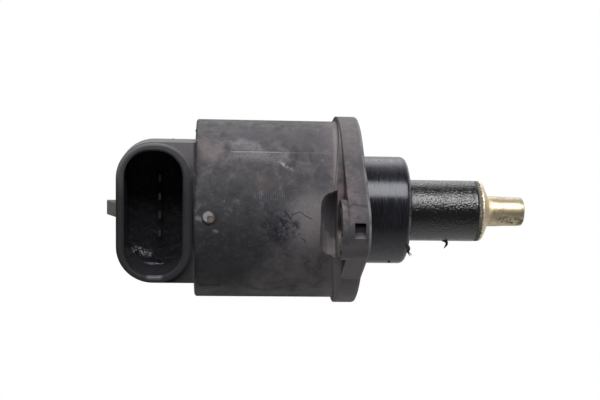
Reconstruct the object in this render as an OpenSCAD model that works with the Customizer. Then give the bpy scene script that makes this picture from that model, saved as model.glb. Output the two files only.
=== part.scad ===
// Idle air control valve: a stepper motor in a moulded drum drives a lead screw, which
// pushes a plated pintle tip out of a guide sleeve. The valve axis is +X, towards the tip.
// The origin is the centre of the flange's mounting face. The socket opens towards -Y.

/* [Drum] */
// Outer radius of the motor drum
drum_r = 21.9; // [19:0.1:27]
// Length of the drum behind the flange's mounting face
drum_len = 39.3; // [34:0.1:50]
// Thickness of the drum's side wall
drum_wall = 5.3; // [4.5:0.1:7]
// Thickness of the drum's rear wall
rear_wall = 2.3; // [1.5:0.1:4]

/* [Flange] */
// How far the flange stands out beyond the drum
flange_rim = 1.25; // [0.5:0.05:4]
// Thickness of the flange
flange_t = 5.0; // [3.5:0.1:8]
// Distance of each bolt's axis from the drum's side
bolt_gap = 6.0; // [5.5:0.1:9]
// Radius of the rounded end of each ear
ear_r = 6.8; // [6.3:0.1:9]
// Thickness of each ear, with its raised bolt seat
ear_t = 6.4; // [5.5:0.1:9]
// Radius of the bolt hole through each bush
bolt_hole_r = 3.3; // [2.6:0.05:3.6]
// Outer radius of each metal bush
bush_r = 4.9; // [4.2:0.1:5.2]
// Wall left between the motor and the clearance for a bolt's head
pocket_wall = 0.85; // [0.6:0.05:3]
// Length of the bolt head clearance behind the ear
bolt_head_len = 3.8; // [3.2:0.1:6]
// Rounding of the clearance's rear end
bolt_head_round = 3.0; // [1:0.1:3.1]

/* [Socket] */
// Outer width of the socket's rim, along the valve axis
rim_w = 16.8; // [15:0.1:19]
// Outer height of the socket's rim
rim_h = 32.1; // [28:0.1:36]
// Width of the socket's opening
mouth_w = 13.3; // [11:0.1:14]
// Height of the socket's opening
mouth_h = 28.75; // [24:0.05:30]
// Height of the socket's middle above the valve axis
socket_z = 2.0; // [0:0.1:4]
// How far the rim's face stands out beyond the drum's side
rim_proud = 0.1; // [-1:0.05:4]
// Depth of the socket
socket_depth = 15.5; // [10:0.1:17]
// Spacing of the four terminals
pin_pitch = 4.4; // [3.5:0.1:5]
// Width of a terminal blade
blade_w = 1.6; // [1:0.1:2.2]
// Thickness of a terminal blade
blade_t = 0.7; // [0.5:0.05:1]
// Distance of the blades' points from the rim's face
blade_recess = 11.5; // [6:0.1:13]

/* [Nose] */
// Outer radius of the rubber nose seal
seal_r = 13.37; // [12.6:0.01:15]
// Length of the nose in front of the flange
nose_len = 13.55; // [10:0.05:18]
// Outer radius of the guide sleeve
sleeve_r = 7.65; // [7:0.05:8.2]
// Distance of the sleeve's mouth from the flange's face
sleeve_end = 30.4; // [27:0.1:40]
// Radius of the lead screw
screw_r = 2.5; // [2.2:0.05:2.8]

/* [Pintle tip] */
// Radius of the tip's wide land
tip_r = 7.6; // [6.5:0.05:8]
// Radius of the stub on the tip
stub_r = 3.7; // [3.3:0.05:4.5]
// Length of the tip with its stub
tip_len = 12.6; // [11:0.1:16]
// Length of the wide land
tip_land = 1.2; // [0.6:0.05:3]
// Length of the cone from the land to the stub
cone_len = 1.6; // [1:0.05:3]

/* [Motor] */
// Depth of the front plate inside the drum
carrier_depth = 8.5; // [7:0.1:12]
// Wall of the lead nut round the screw, before the layers are fitted to the drum
nut_layer = 1.6; // [1.2:0.1:2.5]
// Wall of the rotor's hub round the nut, before fitting
hub_layer = 1.6; // [1:0.1:2.5]
// Thickness of the ring magnet, before fitting
magnet_layer = 2.6; // [1.5:0.1:4]
// Depth of the windings, before fitting
winding_layer = 3.7; // [2:0.1:5]
// Radial air gap between the magnet and the claw poles
air_gap = 0.4; // [0.25:0.05:0.8]
// Claw poles on each half of a phase
poles = 6; // [4:1:8]
// Thickness of the stator's sheet steel
sheet_t = 1.2; // [0.8:0.1:1.5]
// Travel of the pintle from shut in to full out
travel = 8.0; // [5:0.1:9]

/* [Fits] */
// Clearance of pieces that are pushed together
seat_gap = 0.03; // [0.02:0.01:0.1]
// Radial clearance of pieces that turn or slide in each other
run_gap = 0.05; // [0.03:0.01:0.1]

/* [Hidden] */
$fn = 96;

// Radii and places that follow the drum
motor_bore_r = drum_r - drum_wall;
flange_r = drum_r + flange_rim;
bolt_offset = drum_r + bolt_gap;
bolt_head_r = bolt_gap + drum_wall - pocket_wall;
rim_y = drum_r + rim_proud;

// Stations along the axis, from the rear wall to the front plate
rear_x = -drum_len;
floor_x = rear_x + rear_wall;
board_gap = 1.4;
board_t = 1.2;
board_x = floor_x + board_gap;
stator_gap = 1.4;
stator_x = board_x + board_t + stator_gap;
phase_gap = 0.2;
carrier_x = -carrier_depth;
stator_end = carrier_x - phase_gap;
phase_len = (stator_end - stator_x - phase_gap) / 2;
front_phase_x = stator_x + phase_len + phase_gap;
carrier_lip_t = 3.9;
lip_step = 1.6;
lip_r = motor_bore_r + lip_step;
face_step = 0.5;

// Layers of the motor, fitted into the room between the lead screw and the drum's bore
claw_layer = 0.8;
bobbin_layer = 0.8;
lead_layer = 1.2;
bobbin_gap = 0.15;
layers = nut_layer + hub_layer + magnet_layer + claw_layer + bobbin_layer + winding_layer;
room = motor_bore_r - seat_gap - sheet_t - lead_layer - bobbin_gap - air_gap - screw_r;
fit = room / layers;
nut_r = screw_r + nut_layer * fit;
hub_r = nut_r + hub_layer * fit;
magnet_r = hub_r + magnet_layer * fit;
claw_r = magnet_r + air_gap;
claw_t = claw_layer * fit;
bobbin_r = claw_r + claw_t + bobbin_gap;
bobbin_t = bobbin_layer * fit;
winding_r = bobbin_r + bobbin_t;
winding_out_r = winding_r + winding_layer * fit;
cup_bore_r = winding_out_r + lead_layer;
stator_r = cup_bore_r + sheet_t;
flange_gap = 0.2;
claw_end_gap = 1.6;
claw_len = phase_len - sheet_t - claw_end_gap;
lead_r = 0.3;
lead_slot_r = 0.5;
lead_orbit_r = cup_bore_r - 0.54 * lead_layer;
lead_angles = [60, 68, 112, 120];

// Bearings: width, bore radius and outer radius of the rear and the front one
rear_brg_w = 3.2;
rear_brg_bore = 2.0;
rear_brg_r = 5.0;
front_brg_w = 3.0;
front_seat_wall = 0.8;
front_brg_bore = nut_r + front_seat_wall;
front_brg_t = 3.2;
front_brg_r = front_brg_bore + front_brg_t;
race_t = 1.0;
washer_t = 0.3;
washer_rise = 0.35;
washer_room = 0.9;
washer_seat = 0.15;
rear_brg_x = floor_x + washer_room;
boss_wall = 1.3;
front_brg_gap = 0.3;
front_brg_x = carrier_x + front_brg_gap;
front_brg_end = front_brg_x + front_brg_w;

// Rotor
magnet_inset = 0.9;
magnet_x = stator_x + magnet_inset;
magnet_end = stator_end - magnet_inset;
hub_x = rear_brg_x + rear_brg_w;
nut_len = 8.5;
nut_x = front_brg_end - nut_len;
hub_bore_gap = 0.5;
hub_bore_r = screw_r + hub_bore_gap;

// Lead screw: thread pitch and depth, flats and rod
thread_pitch = 1.0;
thread_depth = 0.45;
flat_half = screw_r - 0.5;
plate_gap = 0.5;
plate_t = 1.2;
plate_x = front_brg_end + plate_gap;
plate_end = plate_x + plate_t;
plate_r = 6.6;
screw_room = 2.0;
screw_x = hub_x + screw_room;
thread_end = plate_x - 0.4;
screw_bite = 6.8;
screw_end = sleeve_end + screw_bite;

// Nose
seal_t = 2.1;
boss_r = seal_r - seal_t;
boss_step = 0.8;
boss_len = nose_len - boss_step;
seal_start = -face_step + seat_gap;
seal_slope = 0.9;
seal_edge = 1.4;
seal_end = nose_len - seal_slope;
seal_lip_gap = 0.75;
seal_lip_r = sleeve_r + seal_lip_gap;
seal_lip_w = 1.0;
seal_lip_drop = 0.15;
seal_lip_in = 0.6;
sleeve_wall = 1.9;
sleeve_bore_r = sleeve_r - sleeve_wall;
sleeve_seat = 1.1;
sleeve_x = plate_end + sleeve_seat;
bush_len = 3.8;
wiper_t = 0.8;
mouth_lip = 0.4;
wiper_x = sleeve_end - mouth_lip - wiper_t;
bush_x = wiper_x - bush_len;
clip_t = 1.0;
clip_gap = 0.3;
clip_x = bush_x - travel - clip_t - clip_gap;
ring_wall = 0.6;
ring_groove_w = 2.2;
ring_r = 0.95;

// Socket
rim_gap = 0.45;
rim_x = rear_x - rim_gap - rim_w / 2;
rim_corner = 7.9;
mouth_set = 0.35;
mouth_x = rim_x - mouth_set;
mouth_corner = 6.0;
shell_grow = 0.5;
shell_low = 0.3;
shell_high = 0.25;
rim_step = 1.4;
shoulder_y = 9.4;
neck_inset = 0.6;
neck_floor = 1.5;
block_y = 10.0;
block_inset = 1.6;
block_low = -11.5;
block_high = 15.5;
block_corner = 3.0;
socket_floor_y = -(rim_y - socket_depth);
blade_x = rim_x + 0.5;
blade_tip_y = -(rim_y - blade_recess);
blade_bend_y = 7.6;
blade_end_x = board_x + board_t + 0.6;
wedge_w = 3.2;
wedge_z = 0.75;
wedge_rise = 3.0;
wedge_set = 2.4;
wedge_run = 5.2;
wedge_front_y = -(rim_y - wedge_set);
wedge_back_y = wedge_front_y + wedge_run;
buried = 0.3;

// Pintle tip
tip_edge = 0.15;
land_round = 0.62;
neck_len = 0.4;
collar_len = 1.7;
collar_rise = 0.12;
stub_round = 0.6;

// Moulding details of the housing
flange_edge = 0.55;
flange_edge_mid = 0.16;
flank_edge = 0.46;
drum_edge = 0.4;
rim_edge = 0.5;
mouth_edge = 0.45;
mark_set = 3.65;
mark_x = rear_x + mark_set;
mark_w = 5.4;
mark_h = 5.2;
mark_angle = 41.5;
mark_depth = 0.3;
gate_set = 3.4;
gate_x = rear_x + gate_set;
gate_z = 1.5;
gate_r = 1.45;
gate_h = 0.3;
fillet_len = 2.0;
fillet_x = -8.15;
fillet_tilt = 8.2;
pocket_x = -3.8;
pocket_w = 2.5;
pocket_z = 0.35;
pocket_h = 2.3;
pocket_slope = 1.9;
pocket_depth = 1.6;
seat_lip_t = 0.45;
seat_lip_w = 0.5;

// A turned shape about the valve axis: points are [radius, x]
module turned(points) {
  rotate([0, 90, 0])
    rotate_extrude()
      polygon(points);
}

// A cylinder along +X from station x
module bar(x, len, r) {
  translate([x, 0, 0])
    rotate([0, 90, 0])
      cylinder(h = len, r = r);
}

// A tube along +X from station x
module pipe(x, len, r_in, r_out) {
  difference() {
    bar(x, len, r_out);
    bar(x - 1, len + 2, r_in);
  }
}

// A plate in the XZ plane with rounded corners, from y0 to y1, centred on [cx, cz]
module rounded_slab(cx, cz, w, h, corner, y0, y1) {
  hw = w / 2 - corner;
  hh = h / 2 - corner;
  translate([cx, y1, cz])
    rotate([90, 0, 0]) {
      linear_extrude(y1 - y0) {
        square([2 * hw, h], center = true);
        square([w, 2 * hh], center = true);
        for (sx = [-1, 1], sz = [-1, 1])
          translate([sx * hw, sz * hh])
            circle(r = corner);
      }
    }
}

// A plate like the one above whose sides slope: it is inset by g0 at y0 and by g1 at y1
module sloped_slab(cx, cz, w, h, corner, y0, y1, g0, g1) {
  hw = w / 2 - corner;
  hh = h / 2 - corner;
  translate([cx, 0, cz - hh])
    linear_extrude(2 * hh)
      polygon([[-w / 2 + g0, y0], [w / 2 - g0, y0], [w / 2 - g1, y1], [-w / 2 + g1, y1]]);
  translate([cx - hw, 0, cz])
    rotate([90, 0, 90])
      linear_extrude(2 * hw)
        polygon([[y0, -h / 2 + g0], [y1, -h / 2 + g1], [y1, h / 2 - g1], [y0, h / 2 - g0]]);
  for (sx = [-1, 1], sz = [-1, 1])
    translate([cx + sx * hw, y0, cz + sz * hh])
      rotate([-90, 0, 0])
        cylinder(h = y1 - y0, r1 = corner - g0, r2 = corner - g1);
}

// A body with rounded corners on its rear side and square ones where it meets the drum
module drum_side_slab(left, low, high, corner, y0, y1) {
  right = rear_x + buried;
  translate([0, y1, 0])
    rotate([90, 0, 0])
      linear_extrude(y1 - y0) {
        translate([left + corner, low])
          square([right - left - corner, high - low]);
        translate([left, low + corner])
          square([corner + 1, high - low - 2 * corner]);
        for (z = [low + corner, high - corner])
          translate([left + corner, z])
            circle(r = corner);
      }
}

// A ring of balls about the axis
module ball_ring(x, orbit, r, count) {
  for (i = [0 : count - 1])
    rotate([i * 360 / count, 0, 0])
      translate([x, 0, orbit])
        sphere(r = r, $fn = 32);
}

// Outline of the flange in the YZ plane: a disc with two ears and their flanks
function polar(r, a) = [r * cos(a), r * sin(a)];
flank_high = acos((flange_r - ear_r) / bolt_offset);
flank_low = 36;
ear_low = 74;
flank_in = 0.03;
module ear_flank_2d() {
  polygon([
    polar(flange_r - flank_in, flank_high),
    [bolt_offset, 0] + polar(ear_r - flank_in, flank_high),
    [bolt_offset, 0] + polar(ear_r - flank_in, -ear_low),
    polar(flange_r - flank_in, -flank_low),
    [0, 0]
  ]);
}

// Cuts the front edge of a flank along the line from a to b, the outside being on its left
module flank_edge_cut(a, b) {
  over = 3;
  along = b - a;
  translate([a[0], a[1], flange_t])
    rotate([0, 0, atan2(along[1], along[0])])
      translate([-over, 0, 0])
        rotate([90, 0, 90])
          linear_extrude(norm(along) + 2 * over)
            polygon([[-flank_edge - 1, 1], [1, -flank_edge - 1], [2, 2]]);
}

// The ears' flanks as a plate behind the mounting face, with sloped front edges
module ear_flanks() {
  ear = [bolt_offset, 0];
  for (side = [0, 1])
    translate([-flange_t, 0, 0])
      rotate([90, 0, 90])
        mirror([side, 0, 0])
          difference() {
            linear_extrude(flange_t)
              ear_flank_2d();
            flank_edge_cut(polar(flange_r - flank_in, flank_high), ear + polar(ear_r - flank_in, flank_high));
            flank_edge_cut(ear + polar(ear_r - flank_in, -ear_low), polar(flange_r - flank_in, -flank_low));
          }
}

// A disc of the flange from station x to the mounting face, with a rounded front edge
module flange_disc(x, r) {
  turned([
    [0, x],
    [r, x],
    [r, -flange_edge],
    [r - flange_edge_mid, -flange_edge_mid],
    [r - flange_edge, 0],
    [0, 0]
  ]);
}

// Runs its children once at each bolt, side -1 towards -Y and +1 towards +Y
module at_bolts() {
  for (side = [-1, 1])
    translate([0, side * bolt_offset, 0])
      children();
}

// The space for a bolt head and its spanner: a round clearance with a rounded rear end
module bolt_head_space() {
  steps = 4;
  rear = -ear_t - bolt_head_len;
  turned(concat(
    [[0, rear]],
    [for (i = [0 : steps])
      [bolt_head_r - bolt_head_round + bolt_head_round * sin(90 * i / steps),
       rear + bolt_head_round - bolt_head_round * cos(90 * i / steps)]],
    [[bolt_head_r, -ear_t], [0, -ear_t]]));
}

// The latch wedge on the socket's rear side
module latch_wedge() {
  left = rim_x - rim_w / 2 - shell_grow;
  translate([0, 0, wedge_z])
    linear_extrude(wedge_w)
      polygon([
        [left + 1, wedge_front_y - 0.4],
        [left, wedge_front_y],
        [left - wedge_rise + 0.5, wedge_back_y - 1.2],
        [left - wedge_rise + 0.5, wedge_back_y],
        [left + 1, wedge_back_y]
      ]);
}

// The socket's shell outside, from the rim back to the block that carries the terminals
module socket_outside() {
  low = socket_z - rim_h / 2;
  high = socket_z + rim_h / 2;
  left = rim_x - rim_w / 2;
  rounded_slab(rim_x, socket_z, rim_w, rim_h, rim_corner, -rim_y + rim_edge, -rim_y + rim_step + 1);
  sloped_slab(rim_x, socket_z, rim_w, rim_h, rim_corner, -rim_y, -rim_y + rim_edge, rim_edge, 0);
  drum_side_slab(left - shell_grow, low - shell_low, high + shell_high, rim_corner + shell_grow,
    -rim_y + rim_step, -rim_y + shoulder_y);
  drum_side_slab(left + neck_inset, low + neck_inset, high - neck_inset, rim_corner,
    -rim_y + shoulder_y - 1, socket_floor_y + neck_floor);
  drum_side_slab(left + block_inset, block_low, block_high, block_corner, socket_floor_y, block_y);
  latch_wedge();
}

// One bent terminal in the plane z = 0, with its outline grown by gap
module terminal_shape(gap) {
  half = blade_t / 2 + gap;
  point = 0.25;
  translate([0, 0, -blade_w / 2 - gap])
    linear_extrude(blade_w + 2 * gap)
      polygon([
        [blade_x - point, blade_tip_y],
        [blade_x + point, blade_tip_y],
        [blade_x + half, blade_tip_y + 1],
        [blade_x + half, blade_bend_y - half],
        [blade_end_x, blade_bend_y - half],
        [blade_end_x, blade_bend_y + half],
        [blade_x - half, blade_bend_y + half],
        [blade_x - half, blade_tip_y + 1]
      ]);
}
function pin_z(i) = socket_z + (1.5 - i) * pin_pitch;
module terminal(i) {
  color("silver")
    translate([0, 0, pin_z(i)])
      terminal_shape(0);
}

// Half of a fillet cone round the drum, tilted so that it runs out at the top of the flange
module half_fillet() {
  height = flange_r + 1;
  intersection() {
    rotate([0, fillet_tilt, 0])
      turned([
        [drum_r - 1, fillet_x - 0.1],
        [drum_r - 0.06, fillet_x - 0.1],
        [flange_r - 0.05, fillet_x + fillet_len],
        [flange_r - 0.05, -flange_t + 1],
        [drum_r - 1, -flange_t + 1]
      ]);
    translate([fillet_x - 2, -height, 0])
      cube([-fillet_x - flange_t + 2.5, 2 * height, height]);
  }
}
// The fillet between drum and flange, above and below the ears
module flange_fillet() {
  half_fillet();
  mirror([0, 0, 1])
    half_fillet();
}

// The pocket in each ear's end, with a floor that slopes out to a pale lip
module ear_pocket() {
  out = bolt_offset + ear_r + 1;
  translate([pocket_x, 0, 0])
    rotate([90, 0, 90])
      linear_extrude(pocket_w)
        polygon([
          [out, pocket_z - pocket_slope],
          [bolt_offset + ear_r - pocket_depth, pocket_z],
          [bolt_offset + ear_r - pocket_depth, pocket_z + pocket_h],
          [out, pocket_z + pocket_h]
        ]);
}

// One moulding: drum, flange with two ears, socket shell and latch wedge
module housing() {
  color([0.22, 0.22, 0.23])
    difference() {
      union() {
        difference() {
          union() {
            turned([
              [0, rear_x],
              [drum_r - drum_edge, rear_x],
              [drum_r, rear_x + drum_edge],
              [drum_r, -1],
              [0, -1]
            ]);
            flange_disc(-flange_t, flange_r);
            ear_flanks();
            at_bolts() flange_disc(-ear_t, ear_r);
            flange_fillet();
            socket_outside();
            translate([gate_x, -drum_r + 1, gate_z])
              rotate([90, 0, 0])
                cylinder(h = 1 + gate_h, r = gate_r);
          }
          bar(floor_x, drum_len, motor_bore_r);
        }
        bar(floor_x - 0.5, rear_brg_x + rear_brg_w - floor_x + 0.3, rear_brg_r + boss_wall);
      }
      bar(floor_x + washer_seat, rear_brg_w + 2 * washer_room, rear_brg_r + seat_gap);
      bar(-carrier_lip_t, carrier_lip_t + 1, lip_r + seat_gap);
      at_bolts() {
        bar(-ear_t - 1, ear_t + 2, bush_r + seat_gap);
        bar(-ear_t - 1, 1 + seat_lip_t, ear_r - seat_lip_w);
        bolt_head_space();
      }
      for (side = [0, 1])
        mirror([0, side, 0])
          ear_pocket();
      rounded_slab(mouth_x, socket_z, mouth_w, mouth_h, mouth_corner, -rim_y - 1, socket_floor_y);
      sloped_slab(mouth_x, socket_z, mouth_w, mouth_h, mouth_corner, -rim_y - 0.2, -rim_y + mouth_edge,
        -mouth_edge - 0.2, 0);
      rotate([mark_angle, 0, 0])
        translate([mark_x, -drum_r - 1, 0])
          cube([mark_w, 2 * (1 + mark_depth), mark_h], center = true);
      for (i = [0 : 3])
        translate([0, 0, pin_z(i)])
          terminal_shape(seat_gap);
    }
}

// A metal bush that takes the bolt's clamping load through an ear
module bolt_bush(side) {
  edge = 0.3;
  color([0.5, 0.44, 0.36])
    translate([0, side * bolt_offset, 0])
      turned([
        [bolt_hole_r, -ear_t],
        [bush_r - edge, -ear_t],
        [bush_r, -ear_t + edge],
        [bush_r, -edge],
        [bush_r - edge, 0],
        [bolt_hole_r, 0]
      ]);
}
module bolt_bush_near() { bolt_bush(-1); }
module bolt_bush_far() { bolt_bush(1); }

module terminal_1() { terminal(0); }
module terminal_2() { terminal(1); }
module terminal_3() { terminal(2); }
module terminal_4() { terminal(3); }

// The ring board that joins the terminals to the winding leads
module terminal_board() {
  color([0.15, 0.4, 0.25])
    difference() {
      pipe(board_x, board_t, rear_brg_r + boss_wall + 0.2, motor_bore_r - 0.15);
      for (i = [0 : 3])
        translate([0, 0, pin_z(i)])
          terminal_shape(seat_gap);
      lead_paths(lead_r + seat_gap);
    }
}

// Straight leads from the board into the stator, outside the windings
module lead_paths(r) {
  for (i = [0 : 3])
    rotate([lead_angles[i], 0, 0])
      translate([0, lead_orbit_r, 0])
        bar(board_x + 0.1, (i % 2 == 0 ? stator_x : front_phase_x) + phase_len / 2 - board_x, r);
}
module coil_leads() {
  color([0.72, 0.4, 0.2])
    lead_paths(lead_r);
}
// Notches that let the leads pass through the stator's plates and bobbins
module lead_notches() {
  for (i = [0 : 3])
    rotate([lead_angles[i], 0, 0])
      translate([0, lead_orbit_r, 0])
        bar(board_x, stator_end - board_x - 2 * sheet_t, lead_slot_r);
}

// The front plate and boss that close the motor and carry the nose
module nose_carrier() {
  chamfer = 0.8;
  color([0.3, 0.3, 0.31])
    difference() {
      turned([
        [0, carrier_x],
        [motor_bore_r - seat_gap, carrier_x],
        [motor_bore_r - seat_gap, -carrier_lip_t + seat_gap],
        [lip_r, -carrier_lip_t + seat_gap],
        [lip_r, -face_step],
        [boss_r, -face_step],
        [boss_r, boss_len - chamfer],
        [boss_r - chamfer, boss_len],
        [0, boss_len]
      ]);
      bar(carrier_x - 1, front_brg_end - carrier_x + 1, front_brg_r + seat_gap);
      bar(front_brg_end - 0.1, plate_end - front_brg_end + 0.1, plate_r + seat_gap);
      bar(plate_end - 0.1, sleeve_x - plate_end + 0.2, sleeve_bore_r);
      bar(sleeve_x, boss_len - sleeve_x + 1, sleeve_r + seat_gap);
      pipe(-carrier_lip_t + ring_wall, ring_groove_w, lip_r - 2 * ring_r, lip_r + 1);
    }
}

// The O-ring in the carrier's edge groove
module carrier_o_ring() {
  color([0.1, 0.1, 0.1])
    translate([-carrier_lip_t + ring_wall + ring_groove_w / 2, 0, 0])
      rotate([0, 90, 0])
        rotate_extrude()
          translate([lip_r - ring_r + 0.05, 0])
            circle(r = ring_r - 0.03, $fn = 48);
}

// The rubber sleeve round the nose, with a rounded front edge and a sloped lip
module nose_seal() {
  steps = 5;
  color([0.13, 0.13, 0.14])
    turned(concat(
      [[boss_r + seat_gap, seal_start], [seal_r, seal_start], [seal_r, seal_end - seal_edge]],
      [for (i = [1 : steps])
        [seal_r - seal_edge + seal_edge * cos(90 * i / steps),
         seal_end - seal_edge + seal_edge * sin(90 * i / steps)]],
      [[seal_lip_r + seal_lip_w, nose_len - seal_lip_drop], [seal_lip_r, nose_len],
       [seal_lip_r - seal_lip_in, boss_len + seat_gap], [boss_r + seat_gap, boss_len + seat_gap]]));
}

// The long tube in front, with a rounded mouth that the tip closes on
module guide_sleeve() {
  edge = 0.35;
  color([0.16, 0.16, 0.17])
    difference() {
      turned([
        [sleeve_bore_r, sleeve_x],
        [sleeve_r, sleeve_x],
        [sleeve_r, sleeve_end - edge],
        [sleeve_r - 0.12, sleeve_end - 0.1],
        [sleeve_r - edge, sleeve_end],
        [screw_r + 0.6, sleeve_end],
        [screw_r + 0.6, sleeve_end - mouth_lip],
        [sleeve_bore_r, sleeve_end - mouth_lip]
      ]);
    }
}

// The sintered bush that guides the rod at the sleeve's mouth
module sleeve_bush() {
  color([0.6, 0.45, 0.25])
    pipe(bush_x, bush_len, screw_r + run_gap, sleeve_bore_r - seat_gap);
}

// The rubber ring that wipes the rod
module wiper_ring() {
  color([0.1, 0.1, 0.1])
    turned([
      [screw_r + run_gap, wiper_x + 0.3],
      [screw_r + 0.9, wiper_x + seat_gap],
      [sleeve_bore_r - seat_gap, wiper_x + seat_gap],
      [sleeve_bore_r - seat_gap, wiper_x + wiper_t - seat_gap],
      [screw_r + run_gap, wiper_x + wiper_t - seat_gap]
    ]);
}

// The rod's section where it has two flats, grown by gap
module flatted_bar(x, len, gap) {
  intersection() {
    bar(x, len, screw_r + gap);
    translate([x, -screw_r - 1, -flat_half - gap])
      cube([len, 2 * screw_r + 2, 2 * (flat_half + gap)]);
  }
}

// The steel plate with a slotted hole that stops the screw from turning
module anti_turn_plate() {
  color([0.6, 0.6, 0.62])
    difference() {
      bar(plate_x, plate_t, plate_r);
      flatted_bar(plate_x - 1, plate_t + 2, run_gap);
    }
}

// Points of a ridged rod: one ridge for each pitch between two stations
function ridges(x0, x1) = [
  for (i = [0 : floor((x1 - x0) / thread_pitch) - 1])
    each [
      [screw_r - thread_depth, x0 + i * thread_pitch],
      [screw_r, x0 + (i + 0.35) * thread_pitch],
      [screw_r, x0 + (i + 0.6) * thread_pitch]
    ]
];

// The lead screw: ridged where the nut runs, flatted through the plate, plain in front
module lead_screw() {
  flats_x = plate_x - travel - 0.4;
  color([0.62, 0.62, 0.6])
    difference() {
      turned(concat(
        [[0, screw_x]],
        ridges(screw_x, thread_end),
        [[screw_r - thread_depth, thread_end], [screw_r, thread_end],
         [screw_r, screw_end - 0.5], [screw_r - 0.5, screw_end], [0, screw_end]]));
      for (side = [-1, 1])
        translate([flats_x, -screw_r - 1, side > 0 ? flat_half : -flat_half - 2])
          cube([plate_end + 0.3 - flats_x, 2 * screw_r + 2, 2]);
    }
}

// The clip on the rod that meets the bush at full travel
module stop_clip() {
  color([0.55, 0.55, 0.56])
    difference() {
      pipe(clip_x, clip_t, screw_r + 0.01, sleeve_bore_r - 0.9);
      translate([clip_x - 1, -screw_r * 0.8, 0])
        cube([clip_t + 2, screw_r * 1.6, sleeve_bore_r]);
    }
}

// The plated head that shuts the air way, with its stub
module pintle_tip() {
  face = sleeve_end + seat_gap;
  land_end = face + tip_land;
  cone_x = land_end + land_round;
  neck_x = cone_x + cone_len;
  collar_x = neck_x + neck_len;
  collar_end = collar_x + collar_len;
  end = sleeve_end + tip_len;
  bore = screw_r + 0.02;
  color([0.85, 0.72, 0.42])
    turned([
      [bore, face],
      [tip_r - tip_edge, face],
      [tip_r, face + tip_edge],
      [tip_r, land_end],
      [tip_r - 0.3 * land_round, land_end + 0.55 * land_round],
      [tip_r - 0.95 * land_round, cone_x],
      [stub_r - 0.05, neck_x],
      [stub_r - 0.12, neck_x + neck_len / 2],
      [stub_r + collar_rise, collar_x],
      [stub_r + collar_rise, collar_end],
      [stub_r, collar_end + collar_len],
      [stub_r - 0.06, end - 2 * stub_round],
      [stub_r - 0.3 * stub_round, end - 0.6 * stub_round],
      [stub_r - stub_round, end - 0.15 * stub_round],
      [stub_r / 2, end],
      [0, end],
      [0, screw_end + 0.3],
      [bore, screw_end + 0.3]
    ]);
}

// The plastic hub that joins magnet, nut and both bearings
module rotor_hub() {
  color([0.85, 0.83, 0.75])
    difference() {
      turned([
        [0, rear_brg_x],
        [rear_brg_bore - run_gap, rear_brg_x],
        [rear_brg_bore - run_gap, hub_x + 0.02],
        [rear_brg_bore + 1.2, hub_x + 0.3],
        [hub_r - seat_gap, hub_x + 1.2],
        [hub_r - seat_gap, magnet_end + 0.3],
        [front_brg_bore + race_t * 0.6, front_brg_x - 0.1],
        [front_brg_bore - seat_gap, front_brg_x],
        [front_brg_bore - seat_gap, front_brg_end],
        [0, front_brg_end]
      ]);
      bar(screw_x - 0.5, front_brg_end - screw_x + 2, hub_bore_r);
      bar(nut_x, nut_len + 1, nut_r + seat_gap);
    }
}

// The brass nut that turns round the lead screw
module lead_nut() {
  edge = 0.3;
  color([0.8, 0.65, 0.3])
    turned([
      [screw_r + run_gap, nut_x + seat_gap],
      [nut_r, nut_x + seat_gap],
      [nut_r, front_brg_end - edge],
      [nut_r - edge, front_brg_end],
      [screw_r + run_gap + edge, front_brg_end],
      [screw_r + run_gap, front_brg_end - edge]
    ]);
}

// The magnet ring between the two stator phases' claws
module ring_magnet() {
  edge = 0.3;
  color([0.25, 0.24, 0.24])
    turned([
      [hub_r, magnet_x],
      [magnet_r - edge, magnet_x],
      [magnet_r, magnet_x + edge],
      [magnet_r, magnet_end - edge],
      [magnet_r - edge, magnet_end],
      [hub_r, magnet_end]
    ]);
}

// A bearing race with a ball groove
module race(x, w, r_in, r_out, groove_orbit, groove_r) {
  color([0.75, 0.75, 0.77])
    difference() {
      pipe(x, w, r_in, r_out);
      translate([x + w / 2, 0, 0])
        rotate([0, 90, 0])
          rotate_extrude()
            translate([groove_orbit, 0])
              circle(r = groove_r, $fn = 40);
    }
}
rear_orbit = (rear_brg_bore + rear_brg_r) / 2;
rear_ball_r = 0.85;
front_orbit = (front_brg_bore + front_brg_r) / 2;
front_ball_r = 0.9;
groove_gap = 0.04;
module rear_outer_race() {
  race(rear_brg_x, rear_brg_w, rear_orbit + 0.5, rear_brg_r, rear_orbit, rear_ball_r + groove_gap);
}
module rear_inner_race() {
  race(rear_brg_x, rear_brg_w, rear_brg_bore, rear_orbit - 0.5, rear_orbit, rear_ball_r + groove_gap);
}
module rear_balls() {
  color([0.8, 0.8, 0.82])
    ball_ring(rear_brg_x + rear_brg_w / 2, rear_orbit, rear_ball_r, 8);
}
module front_outer_race() {
  race(front_brg_x, front_brg_w, front_orbit + 0.55, front_brg_r, front_orbit, front_ball_r + groove_gap);
}
module front_inner_race() {
  race(front_brg_x, front_brg_w, front_brg_bore, front_orbit - 0.55, front_orbit, front_ball_r + groove_gap);
}
module front_balls() {
  color([0.8, 0.8, 0.82])
    ball_ring(front_brg_x + front_brg_w / 2, front_orbit, front_ball_r, 14);
}

// The dished spring washer behind the rear bearing
module preload_washer() {
  inner = rear_brg_bore + 0.8;
  outer = rear_brg_r - 0.2;
  back = rear_brg_x - washer_t - washer_rise - 0.05;
  color([0.65, 0.65, 0.67])
    turned([
      [inner, back],
      [inner, back + washer_t],
      [outer, back + washer_t + washer_rise],
      [outer, back + washer_rise]
    ]);
}

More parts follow.
